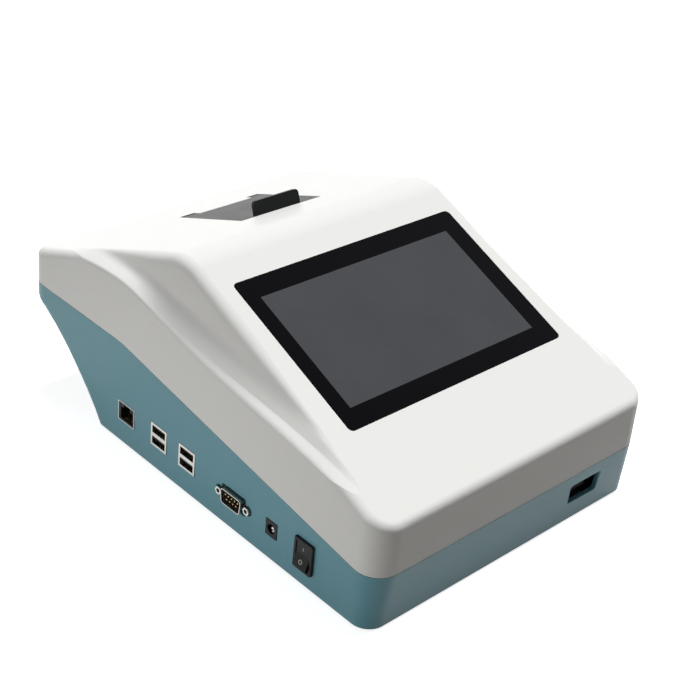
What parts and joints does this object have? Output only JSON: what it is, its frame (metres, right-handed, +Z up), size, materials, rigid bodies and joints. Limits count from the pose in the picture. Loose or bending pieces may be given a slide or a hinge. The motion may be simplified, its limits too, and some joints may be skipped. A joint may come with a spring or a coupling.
{
  "type": "rapid test reader",
  "caption": "Benchtop rapid test reader with a sloping touch screen, a card slot with a sliding carriage, a hinged printer lid and connectors along one side.",
  "frame": {"origin": "on the table under the middle of the unit, level with the bottoms of the four rubber feet", "axes": "+X to the right seen by a user who faces the screen, +Y from the front with the card slot to the rear, +Z up"},
  "size_m": [0.2356, 0.329, 0.1447],
  "materials": {
    "white_shell": "fine satin, off-white",
    "teal_shell": "fine satin, dark teal blue",
    "screen_glass": "glossy black border round a grey screen that is off",
    "tape": "thin foam adhesive tape, black",
    "panel": "metal-backed display module, grey",
    "sheet_metal": "zinc-plated sheet, dull",
    "circuit_board": "green solder mask, satin",
    "screw_steel": "zinc-plated, satin",
    "black_plastic": "moulded black, satin",
    "lid_plastic": "moulded dark grey, satin",
    "gear_plastic": "natural white acetal",
    "roller_rubber": "smooth ground rubber",
    "feet_rubber": "moulded rubber, matte",
    "ground_steel": "ground and polished rod",
    "aluminium": "milled, satin",
    "bronze": "sintered bronze bush and nut",
    "lens_glass": "clear lens with a blue coating",
    "port_metal": "nickel-plated shell, bright satin",
    "pin_gold": "gold-plated contacts, bright",
    "head_ceramic": "ceramic print head on a metal strip",
    "carriage_plastic": "moulded dark plastic, satin"
  },
  "bodies": {
    "reader": {"lower_housing": "teal_shell", "upper_housing": "white_shell", "rubber_feet": "feet_rubber", "housing_screws": "screw_steel", "touch_glass": "screen_glass", "display_tape": "tape", "lcd_panel": "panel", "display_bracket": "sheet_metal", "display_board": "circuit_board", "display_screws": "screw_steel", "lid_hinge_pins": "ground_steel", "printer_frame": "black_plastic", "printer_screws": "screw_steel", "print_head": "head_ceramic", "idler_axle": "ground_steel", "printer_motor": "sheet_metal", "reader_base": "aluminium", "rod_blocks": "black_plastic", "guide_rods": "ground_steel", "screw_blocks": "black_plastic", "carriage_motor": "black_plastic", "motor_bracket": "sheet_metal", "home_switch": "black_plastic", "optics_bracket": "aluminium", "optical_head": "black_plastic", "objective_lens": "lens_glass", "detector_board": "circuit_board", "main_board": "circuit_board", "board_standoffs": "screw_steel", "board_screws": "screw_steel", "processor_sink": "aluminium", "ethernet_shell": "port_metal", "ethernet_insert": "black_plastic", "usb_rear_shell": "port_metal", "usb_rear_insert": "black_plastic", "usb_front_shell": "port_metal", "usb_front_insert": "black_plastic", "serial_shell": "port_metal", "serial_insert": "black_plastic", "serial_pins": "pin_gold", "jack_screws": "port_metal", "dc_inlet": "black_plastic", "dc_inlet_pin": "pin_gold", "switch_body": "black_plastic", "switch_terminals": "pin_gold"},
    "lid": {"printer_lid": "lid_plastic"},
    "platen": {"platen_roller": "roller_rubber", "platen_shaft": "ground_steel", "platen_gear": "gear_plastic"},
    "idler": {"idler_gear": "gear_plastic"},
    "pinion": {"motor_pinion": "bronze"},
    "carriage": {"card_carriage": "carriage_plastic", "carriage_bushes": "bronze", "lead_nut": "bronze"},
    "screw": {"lead_screw": "ground_steel", "screw_coupling": "aluminium", "motor_shaft": "ground_steel"},
    "rocker": {"switch_rocker": "black_plastic"}
  },
  "joints": [
    {"name": "lid_hinge", "type": "hinge", "parent": "reader", "child": "lid", "pos_m": [0.0064, 0.11912, 0.10687], "axis": [-1, 0, 0], "range_deg": [0, 80]},
    {"name": "platen_spin", "type": "hinge", "parent": "lid", "child": "platen", "pos_m": [0.0064, 0.06303, 0.12261], "axis": [1, 0, 0], "continuous": true},
    {"name": "idler_spin", "type": "hinge", "parent": "reader", "child": "idler", "pos_m": [0.0064, 0.06209, 0.1118], "axis": [1, 0, 0], "continuous": true},
    {"name": "pinion_spin", "type": "hinge", "parent": "reader", "child": "pinion", "pos_m": [0.0064, 0.06706, 0.10353], "axis": [1, 0, 0], "continuous": true},
    {"name": "carriage_slide", "type": "slide", "parent": "reader", "child": "carriage", "axis": [0, -1, 0], "range_m": [0, 0.075]},
    {"name": "screw_turn", "type": "hinge", "parent": "reader", "child": "screw", "pos_m": [0.095, -0.08, 0.0224], "axis": [0, 1, 0], "range_deg": [0, 2700]},
    {"name": "rocker_tilt", "type": "hinge", "parent": "reader", "child": "rocker", "pos_m": [-0.1123, -0.1097, 0.0232], "axis": [0, 1, 0], "range_deg": [-18, 0]}
  ],
  "couplings": [
    {"joint": "idler_spin", "follows": "platen_spin", "ratio": -0.8},
    {"joint": "pinion_spin", "follows": "platen_spin", "ratio": 1.3333},
    {"joint": "screw_turn", "follows": "carriage_slide", "rad_per_m": 628.32}
  ]
}
